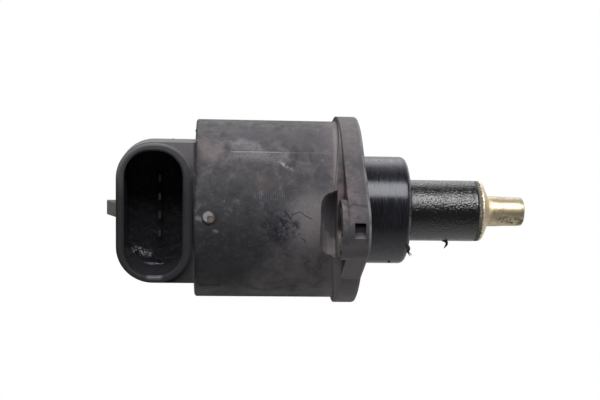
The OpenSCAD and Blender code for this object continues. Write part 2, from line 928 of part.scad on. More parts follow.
// The claw poles of one plate: a ring along +X, cut into tapered claws by the gaps between them
pole_chord = 2 * (claw_r + claw_t / 2) * sin(180 / poles);
gap_root = pole_chord * 0.6;
gap_tip = pole_chord * 0.78;
module claw_gap() {
  translate([sheet_t, 0, 0])
    linear_extrude(claw_r + claw_t + 1)
      polygon([[0, -gap_root / 2], [claw_len, -gap_tip / 2], [claw_len, gap_tip / 2], [0, gap_root / 2]]);
}
module claws(turn) {
  difference() {
    pipe(0, claw_len, claw_r, claw_r + claw_t);
    for (i = [0 : poles - 1])
      rotate([turn + (i + 0.5) * 360 / poles, 0, 0])
        claw_gap();
  }
}

// The outer cup of a phase, its claws pointing along +X from station 0
module stator_cup() {
  pipe(0, sheet_t, claw_r + claw_t / 2, stator_r - sheet_t / 2);
  pipe(0, phase_len, cup_bore_r, stator_r);
  claws(0);
}
// The claw plate that closes the cup, its claws pointing back between the cup's claws
module claw_plate() {
  translate([phase_len, 0, 0])
    mirror([1, 0, 0]) {
      pipe(0, sheet_t, claw_r + claw_t / 2, cup_bore_r - seat_gap);
      claws(180 / poles);
    }
}
// The plastic bobbin between cup and plate
module bobbin() {
  start = sheet_t + seat_gap;
  end = phase_len - sheet_t - seat_gap;
  turned([
    [bobbin_r, start],
    [cup_bore_r - flange_gap, start],
    [cup_bore_r - flange_gap, start + bobbin_t],
    [winding_r, start + bobbin_t],
    [winding_r, end - bobbin_t],
    [cup_bore_r - flange_gap, end - bobbin_t],
    [cup_bore_r - flange_gap, end],
    [bobbin_r, end]
  ]);
}
// The copper winding on the bobbin, slightly crowned
module winding() {
  start = sheet_t + bobbin_t + 2 * seat_gap;
  end = phase_len - start;
  turned([
    [winding_r + seat_gap, start],
    [winding_out_r - 0.3, start],
    [winding_out_r, start + 0.8],
    [winding_out_r, end - 0.8],
    [winding_out_r - 0.3, end],
    [winding_r + seat_gap, end]
  ]);
}

module rear_stator_cup() {
  color([0.55, 0.56, 0.58])
    difference() {
      translate([stator_x, 0, 0]) stator_cup();
      lead_notches();
    }
}
module rear_claw_plate() {
  color([0.5, 0.51, 0.53])
    difference() {
      translate([stator_x, 0, 0]) claw_plate();
      lead_notches();
    }
}
module rear_bobbin() {
  color([0.9, 0.88, 0.8])
    difference() {
      translate([stator_x, 0, 0]) bobbin();
      lead_notches();
    }
}
module rear_winding() {
  color([0.72, 0.4, 0.2])
    translate([stator_x, 0, 0]) winding();
}
// The front phase faces the other way and is turned by a quarter of the pole spacing
module front_phase() {
  translate([front_phase_x + phase_len, 0, 0])
    mirror([1, 0, 0])
      rotate([90 / poles, 0, 0])
        children();
}
module front_stator_cup() {
  color([0.55, 0.56, 0.58])
    front_phase() stator_cup();
}
module front_claw_plate() {
  color([0.5, 0.51, 0.53])
    difference() {
      front_phase() claw_plate();
      lead_notches();
    }
}
module front_bobbin() {
  color([0.9, 0.88, 0.8])
    difference() {
      front_phase() bobbin();
      lead_notches();
    }
}
module front_winding() {
  color([0.72, 0.4, 0.2])
    front_phase() winding();
}

housing();
bolt_bush_near();
bolt_bush_far();
terminal_1();
terminal_2();
terminal_3();
terminal_4();
terminal_board();
coil_leads();
nose_carrier();
carrier_o_ring();
nose_seal();
guide_sleeve();
sleeve_bush();
wiper_ring();
anti_turn_plate();
lead_screw();
stop_clip();
pintle_tip();
rotor_hub();
lead_nut();
ring_magnet();
rear_outer_race();
rear_inner_race();
rear_balls();
preload_washer();
front_outer_race();
front_inner_race();
front_balls();
rear_stator_cup();
rear_claw_plate();
rear_bobbin();
rear_winding();
front_stator_cup();
front_claw_plate();
front_bobbin();
front_winding();
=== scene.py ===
import math
import random

import bmesh
import bpy
from mathutils import Matrix, Vector


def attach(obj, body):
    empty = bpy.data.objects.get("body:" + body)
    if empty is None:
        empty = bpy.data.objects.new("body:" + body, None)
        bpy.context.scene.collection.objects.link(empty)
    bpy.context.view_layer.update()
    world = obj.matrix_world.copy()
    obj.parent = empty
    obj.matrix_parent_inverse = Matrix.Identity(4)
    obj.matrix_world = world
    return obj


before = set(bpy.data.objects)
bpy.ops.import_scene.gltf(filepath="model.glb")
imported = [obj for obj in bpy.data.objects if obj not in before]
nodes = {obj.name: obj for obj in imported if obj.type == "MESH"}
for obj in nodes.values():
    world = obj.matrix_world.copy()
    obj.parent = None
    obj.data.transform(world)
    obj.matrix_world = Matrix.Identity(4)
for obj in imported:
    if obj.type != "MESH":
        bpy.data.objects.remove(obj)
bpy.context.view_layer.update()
MM = 0.001

# Places on the housing that its marks refer to, in millimetres
DRUM_R = 21.9
LINE_Z = 15.98
FRINGE_RATE = 12.1
CLEARANCE_X = (-10.4, -6.2)
BOLT_Y = 27.9
SEAT_LIP_R = (6.25, 6.85)
SEAT_LIP_X = (-7.2, -6.5)
POCKET_X = (-3.75, -1.35)
POCKET_Y = -34.65
POCKET_Z = (-1.5, 2.6)
SHELL_X = -39.2
LATCH_X = -56.9
GATE = (-35.9, -22.2, 1.5)
GATE_R = 1.42

# The socket's mouth is a rounded slot: the centres of its two arcs, and their radius
MOUTH_LOW = (-48.5, 0, -5.72)
MOUTH_HIGH = (-48.5, 0, 9.72)
MOUTH_R = 7.05

# Lifts the moulding's red and blue a little against its green
MOULDING_TINT = (1.01, 0.986, 1.032)

# Camera, found by fitting the photograph's outlines: it looks at a point AIM_UP above AIM
IMAGE_W = 600
FOCAL_PX = 1080
SENSOR_MM = 36
YAW = math.radians(4.3)
ELEVATION = math.radians(9.0)
ROLL = math.radians(1.46)
DISTANCE = 270 * MM
AIM = Vector((-13.4 * MM, 0, 0))
AIM_UP = 2.185 * MM

# Room and lamps, in metres and watts; a fade is where it starts and ends, along y
FLOOR_Z = -52 * MM
FLOOR_SIZE = 3.0
FLOOR_FRONT = (0.05, 0.05, 0.052, 1)
FLOOR_BEHIND = (0.52, 0.52, 0.52, 1)
FLOOR_FADE = (-0.110, 0.0)
ROOM_TINT = (0.97, 0.98, 1.0, 1)
ROOM_DIM = 0.02
ROOM_BEHIND = 0.55
ROOM_FADE = (0.0, 0.7)
WHITE = (1, 1, 1, 1)
LAMP_AIM = (-0.01, 0, 0)
LAMPS = {
    "key": {"place": (-0.03, -0.365, 0.50), "size": (0.80, 0.35), "power": 7.2},
    "rear": {"place": (-0.05, 0.42, 0.44), "size": (0.50, 0.30), "power": 1.0},
}

# Corners of a soot crumb's cross-section
CRUMB_SIDES = 8


def make_camera():
    """The camera at the photograph's place; back points from the aim to the camera."""
    back = Vector((-math.sin(YAW) * math.cos(ELEVATION), -math.cos(YAW) * math.cos(ELEVATION),
                   math.sin(ELEVATION)))
    level = Vector((math.cos(YAW), -math.sin(YAW), 0))
    rise = back.cross(level)
    right = level * math.cos(ROLL) + rise * math.sin(ROLL)
    up = rise * math.cos(ROLL) - level * math.sin(ROLL)
    place = AIM + up * AIM_UP + back * DISTANCE
    data = bpy.data.cameras.new("camera")
    data.sensor_fit = "HORIZONTAL"
    data.sensor_width = SENSOR_MM
    data.lens = SENSOR_MM * FOCAL_PX / IMAGE_W
    data.clip_start = 0.01
    camera = bpy.data.objects.new("camera", data)
    camera.matrix_world = Matrix((
        (right.x, up.x, back.x, place.x),
        (right.y, up.y, back.y, place.y),
        (right.z, up.z, back.z, place.z),
        (0, 0, 0, 1)))
    bpy.context.scene.collection.objects.link(camera)
    bpy.context.scene.camera = camera


def put(tree, socket, value):
    """Links a socket to another, or sets its value."""
    if isinstance(value, bpy.types.NodeSocket):
        tree.links.new(value, socket)
    elif value is not None:
        socket.default_value = value


def math_node(tree, operation, *values, clamp=False):
    """The result of a Math node on sockets or numbers."""
    node = tree.nodes.new("ShaderNodeMath")
    node.operation = operation
    node.use_clamp = clamp
    for socket, value in zip(node.inputs, values):
        put(tree, socket, value)
    return node.outputs[0]


def smooth_step(tree, value, start_and_end, reached):
    """Maps a socket's value from start and end to the two values reached there."""
    node = tree.nodes.new("ShaderNodeMapRange")
    node.interpolation_type = "SMOOTHSTEP"
    tree.links.new(value, node.inputs["Value"])
    node.inputs["From Min"].default_value, node.inputs["From Max"].default_value = start_and_end
    node.inputs["To Min"].default_value, node.inputs["To Max"].default_value = reached
    return node.outputs[0]


def separate(tree, vector):
    """The x, y and z of a vector socket."""
    node = tree.nodes.new("ShaderNodeSeparateXYZ")
    tree.links.new(vector, node.inputs[0])
    return node.outputs


class Shader:
    """A node material built from short calls; lengths in its coordinates are in millimetres."""

    def __init__(self, name):
        self.material = bpy.data.materials.new(name)
        self.material.use_nodes = True
        self.tree = self.material.node_tree
        self.tree.nodes.clear()
        self.out = self.tree.nodes.new("ShaderNodeOutputMaterial")
        self.bsdf = self.tree.nodes.new("ShaderNodeBsdfPrincipled")
        self.tree.links.new(self.bsdf.outputs[0], self.out.inputs[0])
        place = self.tree.nodes.new("ShaderNodeTexCoord")
        self.point = self.vector("SCALE", place.outputs["Object"], scale=1 / MM)
        self.x, self.y, self.z = separate(self.tree, self.point)
        self.radius = self.length(self.vector("MULTIPLY", self.point, (0, 1, 1)))
        self.nx, self.ny, self.nz = separate(self.tree, place.outputs["Normal"])

    def put(self, socket, value):
        put(self.tree, socket, value)

    def vector(self, operation, a, b=None, scale=None):
        node = self.tree.nodes.new("ShaderNodeVectorMath")
        node.operation = operation
        self.put(node.inputs[0], a)
        self.put(node.inputs[1], b)
        if scale is not None:
            self.put(node.inputs["Scale"], scale)
        return node.outputs[0]

    def math(self, operation, a, b=None, clamp=False):
        return math_node(self.tree, operation, a, b, clamp=clamp)

    def times(self, *values):
        made = values[0]
        for value in values[1:]:
            made = self.math("MULTIPLY", made, value)
        return made

    def plus(self, a, b, clamp=False):
        return self.math("ADD", a, b, clamp=clamp)

    def minus(self, a, b, clamp=False):
        return self.math("SUBTRACT", a, b, clamp=clamp)

    def most(self, a, b):
        return self.math("MAXIMUM", a, b)

    def ramp(self, value, low, high, to_low=0.0, to_high=1.0):
        """A smooth step from to_low, where value is low, to to_high, where it is high."""
        return smooth_step(self.tree, value, (low, high), (to_low, to_high))

    def band(self, value, low, high, soft):
        """1 between low and high, falling to 0 over soft outside them."""
        rise = self.ramp(value, low - soft, low)
        fall = self.ramp(value, high, high + soft, 1.0, 0.0)
        return self.times(rise, fall)

    def length(self, vector):
        node = self.tree.nodes.new("ShaderNodeVectorMath")
        node.operation = "LENGTH"
        self.put(node.inputs[0], vector)
        return node.outputs["Value"]

    def spot(self, centre, radius, soft, at=None):
        """1 within radius of a point, falling to 0 over soft."""
        away = self.vector("SUBTRACT", self.point if at is None else at, centre)
        return self.ramp(self.length(away), radius, radius + soft, 1.0, 0.0)

    def stroke(self, start, end, width, soft, at=None):
        """1 within width of the line from start to end, falling to 0 over soft."""
        along = Vector(end) - Vector(start)
        away = self.vector("SUBTRACT", self.point if at is None else at, start)
        node = self.tree.nodes.new("ShaderNodeVectorMath")
        node.operation = "DOT_PRODUCT"
        self.put(node.inputs[0], away)
        self.put(node.inputs[1], tuple(along / along.length_squared))
        share = self.math("MULTIPLY", node.outputs["Value"], 1.0, clamp=True)
        near = self.vector("SCALE", tuple(along), scale=share)
        to_line = self.length(self.vector("SUBTRACT", away, near))
        return self.ramp(to_line, width, width + soft, 1.0, 0.0)

    def path(self, points, width, soft, at=None):
        """1 within width of a line through several points."""
        made = None
        for start, end in zip(points, points[1:]):
            part = self.stroke(start, end, width, soft, at)
            made = part if made is None else self.most(made, part)
        return made

    def ragged(self, scale, reach, seed=0.0):
        """The coordinates shifted about by up to reach, so that patches get uneven edges."""
        node = self.tree.nodes.new("ShaderNodeTexNoise")
        self.put(node.inputs["Vector"], self.vector("ADD", self.point, (seed, -seed, seed * 0.7)))
        self.put(node.inputs["Scale"], scale)
        self.put(node.inputs["Detail"], 4.0)
        middle = self.vector("SUBTRACT", node.outputs["Color"], (0.5, 0.5, 0.5))
        return self.vector("ADD", self.point, self.vector("SCALE", middle, scale=2 * reach))

    def vector_x(self, vector):
        return separate(self.tree, vector)[0]

    def vector_z(self, vector):
        return separate(self.tree, vector)[2]

    def stretch(self, sx, sy, sz):
        """The coordinates scaled along each axis; a small number draws a noise out along it."""
        return self.vector("MULTIPLY", self.point, (sx, sy, sz))

    def noise(self, scale, detail=4.0, rough=0.55, at=None, warp=0.0, seed=0.0):
        """A noise from 0 to 1; its grains are about 1 / scale millimetres wide."""
        node = self.tree.nodes.new("ShaderNodeTexNoise")
        shift = (seed, seed * 1.7, -seed * 0.6)
        place = self.vector("ADD", self.point if at is None else at, shift)
        self.put(node.inputs["Vector"], place)
        self.put(node.inputs["Scale"], scale)
        self.put(node.inputs["Detail"], detail)
        self.put(node.inputs["Roughness"], rough)
        self.put(node.inputs["Distortion"], warp)
        return node.outputs["Fac"]

    def cells(self, scale, at, seed):
        """The distance to the nearest of many scattered points."""
        node = self.tree.nodes.new("ShaderNodeTexVoronoi")
        place = self.vector("ADD", at, (seed, seed, seed))
        self.put(node.inputs["Vector"], place)
        self.put(node.inputs["Scale"], scale)
        return node.outputs["Distance"]

    def mix(self, amount, a, b):
        """Colour a, painted over with colour b by the amount."""
        node = self.tree.nodes.new("ShaderNodeMix")
        node.data_type = "RGBA"
        self.put(node.inputs["Factor"], amount)
        self.put(node.inputs[6], self.rgba(a))
        self.put(node.inputs[7], self.rgba(b))
        return node.outputs[2]

    def blend(self, amount, a, b):
        """Number a at amount 0 and number b at amount 1."""
        node = self.tree.nodes.new("ShaderNodeMix")
        node.data_type = "FLOAT"
        self.put(node.inputs["Factor"], amount)
        self.put(node.inputs[2], a)
        self.put(node.inputs[3], b)
        return node.outputs[0]

    @staticmethod
    def rgba(colour):
        return (*colour, 1.0) if isinstance(colour, tuple) and len(colour) == 3 else colour

    def bump(self, height, depth, base=None):
        """Adds relief to base: height is 0 to 1 and depth is in millimetres."""
        node = self.tree.nodes.new("ShaderNodeBump")
        self.put(node.inputs["Height"], height)
        node.inputs["Distance"].default_value = depth * MM
        node.inputs["Strength"].default_value = 1.0
        self.put(node.inputs["Normal"], base)
        return node.outputs[0]

    def finish(self, colour, rough, metal=0.0, normal=None, specular=0.5):
        self.put(self.bsdf.inputs["Base Color"], self.rgba(colour))
        self.put(self.bsdf.inputs["Roughness"], rough)
        self.put(self.bsdf.inputs["Metallic"], metal)
        self.put(self.bsdf.inputs["Normal"], normal)
        self.bsdf.inputs["Specular IOR Level"].default_value = specular
        return self.material


# Materials of the visible outside
class Moulding(Shader):
    """The housing's plastic, with the noises and regions that its marks share."""

    def __init__(self):
        super().__init__("moulding")
        self.fine = self.noise(2.4, 6, 0.65)
        self.speckle = self.noise(6.5, 3, 0.7, seed=9.0)
        self.broad = self.noise(0.17, 5, 0.6, seed=3.0, warp=0.6)
        self.uneven = self.ragged(0.33, 2.6, seed=1.0)
        self.frayed = self.ragged(1.3, 0.8, seed=2.0)
        self.flat = self.stretch(1, 0, 1)
        self.ear_side = self.times(self.ramp(self.x, -7.0, -5.5),
                                   self.ramp(self.math("ABSOLUTE", self.y), 14.0, 20.0))
        self.on_drum = self.times(self.band(self.x, -30.6, -7.4, 0.8),
                                  self.ramp(self.ny, -0.3, -0.5))
        self.from_line = self.minus(self.z, LINE_Z)
        self.grease = self.spot((-19.3, -21.6, -0.9), 1.6, 4.2, self.ragged(0.6, 3.2, seed=8.0))
        mouth = self.stroke(MOUTH_LOW, MOUTH_HIGH, MOUTH_R, 0.1, self.flat)
        self.inside = self.times(mouth, self.ramp(self.y, -21.85, -21.5),
                                 self.ramp(self.y, -5.9, -6.6))


def dust_and_mottle(s, colour):
    """Dust on what faces up, thicker near the flange, a paler coat low down that is partly painted
    fill light, painted shade on the very bottom, and mottling.
    """
    upward = s.times(s.ramp(s.nz, 0.30, 0.92), s.blend(s.ear_side, 1.0, 0.2))
    dust = s.times(upward, s.ramp(s.broad, 0.25, 0.75, 0.45, 1.0),
                   s.ramp(s.fine, 0.25, 0.8, 0.75, 1.1))
    colour = s.mix(s.times(dust, 0.52), colour, (0.132, 0.121, 0.122))
    patches = s.ramp(s.noise(0.28, 6, 0.62, seed=11.0, warp=0.8), 0.45, 0.70)
    patches = s.times(patches, s.ramp(s.nz, 0.1, 0.8, 0.35, 1.0), 0.19)
    colour = s.mix(patches, colour, (0.19, 0.183, 0.190))
    # Paler coat on faces that look down: partly dust, partly painted fill light from below.
    film_and_painted_light = s.times(s.ramp(s.nz, -0.15, -0.60), s.ramp(s.nz, -0.97, -0.82),
                   s.ramp(s.broad, 0.35, 0.65, 0.25, 1.0), s.ramp(s.x, -32.0, -24.0, 0.55, 1.0))
    colour = s.mix(s.times(film_and_painted_light, 0.85), colour, (0.122, 0.113, 0.113))
    # Painted shade on the faces that look straight down.
    underside = s.times(s.ramp(s.nz, -0.90, -0.97), 0.6)
    colour = s.mix(underside, colour, (0.018, 0.018, 0.019))

    mottle = s.noise(0.42, 6, 0.68, seed=21.0, warp=0.5)
    dark = s.times(s.ramp(mottle, 0.52, 0.34, 0.0, 0.55), s.ramp(s.nz, -0.8, -0.2, 0.4, 1.0))
    colour = s.mix(dark, colour, (0.020, 0.020, 0.022))
    pale = s.times(s.ramp(mottle, 0.52, 0.68), s.ramp(s.nz, -0.9, 0.3, 0.12, 0.30))
    return s.mix(pale, colour, (0.170, 0.162, 0.165))


def worn_and_greasy(s, colour):
    """The pale worn zone beside the near ear and the dark greasy patch in the drum's middle."""
    worn = s.spot((-11.5, -21.5, 0.5), 3.0, 7.5, s.uneven)
    worn = s.times(worn, s.ramp(s.fine, 0.2, 0.7, 0.55, 0.95))
    colour = s.mix(worn, colour, (0.150, 0.141, 0.141))
    drawn_out = s.vector("MULTIPLY", s.uneven, (0.5, 0.5, 0.22))
    streaks = s.noise(1.0, 4, 0.6, at=drawn_out, seed=6.0)
    lower = s.times(s.spot((-12.5, -17.5, -11.5), 4.0, 9.0, s.uneven), s.ramp(streaks, 0.40, 0.66))
    colour = s.mix(s.times(lower, 0.85), colour, (0.120, 0.106, 0.104))

    mottled = s.ramp(s.noise(0.95, 5, 0.7, seed=4.0, warp=1.2), 0.42, 0.56)
    mottled = s.times(s.grease, s.plus(mottled, 0.10, clamp=True), 0.90)
    colour = s.mix(mottled, colour, (0.014, 0.015, 0.022))
    cloud = s.times(s.stroke((-29.0, -9.0, 20.0), (-10.0, -11.5, 18.6), 1.2, 3.2, s.uneven), 0.55)
    colour = s.mix(cloud, colour, (0.060, 0.060, 0.064))

    # A fringe of fine upright marks above the patch, then a dim zone and pale dots to its left
    fringe = s.times(s.band(s.z, 4.6, 6.9, 1.0), s.band(s.x, -25.6, -18.4, 0.8),
                     s.ramp(s.ny, -0.5, -0.7))
    comb = s.math("SINE", s.times(s.plus(s.x, s.times(s.fine, 0.15)), FRINGE_RATE))
    fringe = s.times(fringe, s.ramp(comb, -0.2, 0.8), s.ramp(s.broad, 0.35, 0.6), 0.30)
    colour = s.mix(fringe, colour, (0.15, 0.15, 0.165))
    dim = s.times(s.spot((-32.5, -19.5, -8.5), 5.0, 8.0, s.uneven), 0.65)
    colour = s.mix(dim, colour, (0.018, 0.018, 0.020))
    dots = s.times(s.ramp(s.cells(0.75, s.frayed, 3.0), 0.10, 0.42, 1.0, 0.0),
                   s.band(s.z, -9.0, -1.0, 2.5), s.band(s.x, -38.0, -20.0, 3.0))
    return s.mix(s.times(dots, 0.16), colour, (0.10, 0.10, 0.11))


def line_and_scuffs(s, colour):
    """The mould line along the drum, with scuffs, glints, a wiped zone and two tan stains."""
    strong = s.band(s.x, -29.5, -20.5, 2.5)
    dark_line = s.times(s.on_drum, s.band(s.from_line, 0.02, 0.14, 0.12),
                        s.blend(strong, 0.25, 0.75))
    colour = s.mix(dark_line, colour, (0.028, 0.026, 0.027))
    pale_line = s.times(s.on_drum, s.band(s.from_line, -0.22, -0.10, 0.12),
                        s.blend(strong, 0.10, 0.55))
    colour = s.mix(pale_line, colour, (0.24, 0.225, 0.215))
    under = s.times(s.stroke((-29.0, -15.6, 15.4), (-19.0, -16.4, 14.6), 0.3, 2.4, s.frayed),
                    s.ramp(s.speckle, 0.42, 0.62))
    colour = s.mix(s.times(under, 0.45), colour, (0.27, 0.265, 0.27))
    glints = s.path([(-19.6, -17.0, 13.9), (-18.6, -17.6, 13.1), (-17.6, -18.0, 12.6),
                     (-16.8, -18.3, 12.0)], 0.05, 0.55, s.frayed)
    glints = s.times(glints, s.ramp(s.noise(2.8, 3, 0.6, seed=17.0), 0.42, 0.60))
    colour = s.mix(s.times(glints, 0.45), colour, (0.40, 0.40, 0.43))
    wipe = s.stroke((-29.0, -13.0, 17.6), (-25.2, -13.6, 17.1), 0.3, 2.6, s.uneven)
    wipe = s.times(wipe, s.ramp(s.broad, 0.3, 0.6), s.ramp(s.fine, 0.3, 0.7, 0.2, 0.5))
    colour = s.mix(wipe, colour, (0.22, 0.225, 0.24))
    tan = s.times(s.spot((-36.5, -14.6, 16.2), 1.2, 3.8, s.uneven), 0.40)
    colour = s.mix(tan, colour, (0.185, 0.155, 0.145))
    tan = s.times(s.spot((-23.6, -19.7, 9.5), 0.8, 2.6, s.uneven), 0.35)
    return s.mix(tan, colour, (0.095, 0.076, 0.062))


def scratches(s, colour):
    """Hair-thin scratches between the greasy patch and the ear."""
    scratch = s.path([(-17.4, -21.8, 1.0), (-16.6, -21.8, 2.3), (-15.0, -21.7, 2.9),
                      (-13.6, -21.8, 1.9), (-12.2, -21.9, 1.3)], 0.05, 0.12)
    for points, width, soft in (
            ([(-16.4, -21.9, 0.4), (-15.8, -21.9, -0.2), (-15.1, -21.9, -1.1)], 0.05, 0.12),
            ([(-18.6, -21.7, 3.0), (-17.8, -21.8, 2.2), (-17.3, -21.8, 1.2)], 0.10, 0.15),
            ([(-14.6, -21.7, -3.2), (-13.8, -21.6, -3.7), (-13.4, -21.5, -4.6)], 0.05, 0.12)):
        scratch = s.most(scratch, s.path(points, width, soft))
    return s.mix(s.times(scratch, 0.8), colour, (0.016, 0.015, 0.016))


def flange_marks(s, colour):
    """Brownish dust on flange and fillet with painted fill light on faces that look down, a painted
    highlight line on the fillet, the ear's pocket with painted shade, painted shade on the lower
    flank, and a fleck.
    """
    near_flange = s.ramp(s.x, -10.5, -6.0)
    on_top = s.times(s.ramp(s.nz, 0.25, 0.95, 0.10, 0.50), s.blend(s.ear_side, 1.0, 0.45))
    # Dust on faces that look up; the same paler colour on faces that look down is painted fill
    # light.
    dust_and_painted_fill = s.most(on_top, s.ramp(s.nz, -0.10, -0.60, 0.10, 0.95))
    dust_and_painted_fill = s.times(near_flange, dust_and_painted_fill, s.ramp(s.fine, 0.2, 0.8, 0.7, 1.2))
    colour = s.mix(dust_and_painted_fill, colour, (0.150, 0.138, 0.137))
    # A painted highlight line along the fillet's edge.
    fillet_x = s.plus(s.x, s.times(s.minus(19.0, s.z), 0.068))
    pale = s.times(s.band(fillet_x, -6.45, -6.15, 0.5), s.ramp(s.z, 6.5, 11.0),
                   s.ramp(s.z, 21.5, 20.0))
    colour = s.mix(s.times(pale, 0.40), colour, (0.22, 0.200, 0.188))
    rust = s.times(s.band(s.x, -7.6, -3.4, 1.4), s.band(s.z, 4.5, 12.0, 3.0),
                   s.ramp(s.noise(0.8, 5, 0.6, seed=5.0), 0.4, 0.6))
    colour = s.mix(s.times(rust, 0.30), colour, (0.150, 0.105, 0.098))
    edge_line = s.times(s.band(s.x, -5.10, -4.90, 0.14), s.ramp(s.z, 2.0, 5.0),
                        s.ramp(s.radius, 22.0, 22.4))
    colour = s.mix(s.times(edge_line, 0.75), colour, (0.032, 0.022, 0.020))
    # The ear's pocket: painted shade in its upper part, and a pale lower lip.
    pocket = s.times(s.band(s.x, *POCKET_X, 0.06), s.band(s.z, *POCKET_Z, 0.06),
                     s.ramp(s.y, POCKET_Y, POCKET_Y + 0.25))
    above = s.ramp(s.z, -0.7, 0.3, 0.0, 0.70)
    colour = s.mix(s.times(pocket, above), colour, (0.016, 0.015, 0.016))
    below = s.ramp(s.z, -0.6, -0.9)
    colour = s.mix(s.times(pocket, below, 0.5), colour, (0.170, 0.150, 0.150))
    # Painted shade on the lower flank facet.
    flank = s.times(s.band(s.x, -5.4, 0.2, 0.3), s.band(s.z, -18.6, -12.6, 0.6),
                    s.ramp(s.ny, -0.4, -0.6))
    colour = s.mix(s.times(flank, 0.12), colour, (0.030, 0.028, 0.028))
    fleck = s.times(s.stroke((-0.5, -14.5, 9.0), (-0.3, -15.6, 7.2), 0.10, 0.35, s.frayed), 0.9)
    return s.mix(fleck, colour, (0.34, 0.32, 0.30))


def clearance_marks(s, colour):
    """The bolt-head clearance: dirt and painted shade over it, a painted shadow as a dark arc
    beside the seat, and dust with painted light, scuffed, outside the arc.
    """
    recess = s.times(s.ramp(s.radius, DRUM_R - 0.10, DRUM_R - 0.35), s.band(s.x, *CLEARANCE_X, 0.2))
    # Dirt and painted shade over the whole clearance.
    recess_grime_and_painted_shade = s.times(recess, s.ramp(s.speckle, 0.3, 0.7, 0.6, 0.95))
    colour = s.mix(recess_grime_and_painted_shade, colour, (0.062, 0.055, 0.053))
    # Painted shadow in the clearance's upper part, darkest towards the flange.
    shade = s.mix(s.ramp(s.x, -10.2, -7.0), (0.120, 0.116, 0.119), (0.062, 0.060, 0.062))
    upper = s.times(recess, s.ramp(s.vector_z(s.uneven), -4.6, -2.2), 0.9)
    colour = s.mix(upper, colour, shade)
    # Outside the dark arc: dust with painted light, paler towards the top, and scuffed.
    from_seat = s.vector("SUBTRACT", s.uneven, (-6.0, 0, 1.7))
    away = s.length(s.vector("MULTIPLY", from_seat, (0.25, 0, 0.17)))
    dust_and_painted_light = s.mix(s.ramp(s.z, -3.0, 1.0), (0.145, 0.135, 0.135), (0.185, 0.172, 0.170))
    scuffs = s.ramp(s.noise(1.1, 4, 0.6, seed=23.0, warp=0.6), 0.32, 0.52, 0.45, 0.95)
    return s.mix(s.times(recess, s.ramp(away, 0.88, 1.12), scuffs), colour, dust_and_painted_light)


def ear_marks(s, colour):
    """A pale worn lip round the bolt seat, wear and a painted highlight on the front edge, a crease
    and a stain.
    """
    from_bolt = s.vector("SUBTRACT", s.point, (0, -BOLT_Y, 0))
    from_bolt = s.length(s.vector("MULTIPLY", from_bolt, (0, 1, 1)))
    lip = s.times(s.band(from_bolt, *SEAT_LIP_R, 0.12), s.band(s.x, *SEAT_LIP_X, 0.06))
    colour = s.mix(s.times(lip, 0.75), colour, (0.165, 0.150, 0.140))
    # Wear and a painted highlight along the front edge's rounding.
    worn_and_highlit_edge = s.times(s.band(s.x, -0.55, -0.02, 0.12), s.ramp(s.nx, 0.99, 0.88),
                        s.ramp(s.noise(0.5, 4, 0.6, seed=15.0), 0.30, 0.60, 0.25, 0.8))
    colour = s.mix(worn_and_highlit_edge, colour, (0.200, 0.188, 0.192))
    crease = s.path([(-6.3, 0, 6.7), (-4.9, 0, 5.8), (-3.8, 0, 6.3), (-2.6, 0, 6.0),
                     (-1.0, 0, 6.0)], 0.10, 0.35, s.flat)
    crease = s.times(s.ramp(s.y, -27.0, -28.5), crease, 0.6)
    colour = s.mix(crease, colour, (0.022, 0.019, 0.019))
    stain = s.times(s.ramp(s.y, -20.0, -22.0), s.spot((-6.0, 0, 8.2), 0.4, 1.5, s.flat))
    return s.mix(s.times(stain, 0.45), colour, (0.190, 0.135, 0.128))


def socket_marks(s, colour):
    """The socket: a shell with dust and painted light and a dark rim, black and greasy inside with
    painted highlights there and on the mouth's lower edge, a scuffed latch.
    """
    # The shell: dust and painted light towards the top, then darker low down and on the rim.
    shell = s.ramp(s.x, SHELL_X, SHELL_X - 0.6)
    shell_dust_and_painted_light = s.times(shell, s.ramp(s.plus(s.z, s.times(s.x, -0.35)), 20.5, 33.0), 0.7)
    colour = s.mix(shell_dust_and_painted_light, colour, (0.16, 0.155, 0.158))
    low_or_rim = s.most(s.ramp(s.z, 15.5, 5.0), s.ramp(s.y, -21.4, -22.0, 0.0, 0.75))
    colour = s.mix(s.times(shell, low_or_rim, 0.90), colour, (0.020, 0.019, 0.020))
    colour = s.mix(s.inside, colour, (0.021, 0.020, 0.023))
    # Painted highlights on the grease inside the socket, and on the mouth's lower edge.
    close_by = s.ragged(1.6, 0.5, seed=13.0)
    painted_gloss_on_smears = s.most(s.stroke((-53.6, -7.0, -9.6), (-50.6, -7.0, -10.2), 0.50, 1.0, close_by),
                    s.stroke((-50.3, -9.2, -12.3), (-47.9, -8.8, -12.3), 0.45, 1.1, close_by))
    wet = s.ramp(s.noise(1.5, 3, 0.6, seed=19.0, warp=1.0), 0.45, 0.60)
    colour = s.mix(s.times(painted_gloss_on_smears, s.inside, wet, 0.9), colour, (0.50, 0.50, 0.55))
    glow = s.stroke((-49.4, 0, -12.6), (-47.0, 0, -12.6), 0.05, 0.9, s.flat)
    colour = s.mix(s.times(glow, s.ramp(s.y, -21.4, -21.6), 0.6), colour, (0.17, 0.17, 0.19))
    latch = s.times(s.ramp(s.x, LATCH_X, LATCH_X - 0.4), s.ramp(s.fine, 0.2, 0.7, 0.6, 1.0))
    return s.mix(latch, colour, (0.135, 0.120, 0.108))


